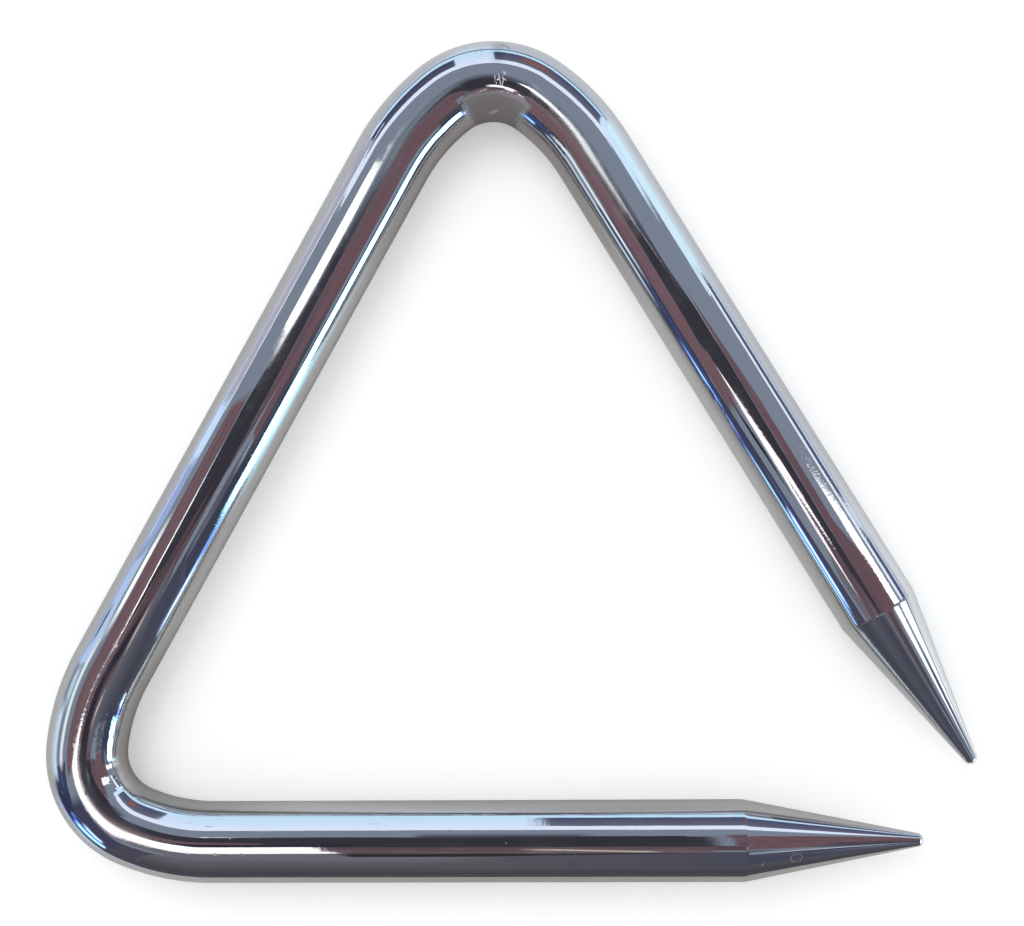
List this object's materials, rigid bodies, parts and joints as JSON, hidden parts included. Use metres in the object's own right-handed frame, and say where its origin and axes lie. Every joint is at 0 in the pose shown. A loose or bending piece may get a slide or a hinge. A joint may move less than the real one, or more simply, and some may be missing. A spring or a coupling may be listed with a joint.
{
  "type": "triangle instrument",
  "caption": "Chromed steel percussion triangle: a round bar bent to a rounded triangle with an open corner and slim tapered ends.",
  "frame": {"origin": "middle of the triangle's box, on the surface that it lies on", "axes": "+X along the base side towards its tip, +Y from the base side up to the top bend, +Z out of the triangle's plane"},
  "size_m": [0.1394, 0.1268, 0.012],
  "materials": {
    "chromed_bar": "polished chrome over drawn steel bar, with fine rubbing marks",
    "chromed_taper": "polished chrome over a turned cone, with fine marks around it"
  },
  "bodies": {
    "root": {"base_taper": "chromed_taper", "base_bar": "chromed_bar", "lower_bend_exit": "chromed_bar", "lower_bend_core": "chromed_bar", "lower_bend_entry": "chromed_bar", "closed_leg": "chromed_bar", "top_bend_exit": "chromed_bar", "top_bend_core": "chromed_bar", "top_bend_entry": "chromed_bar", "open_leg": "chromed_bar", "open_taper": "chromed_taper"}
  },
  "joints": []
}
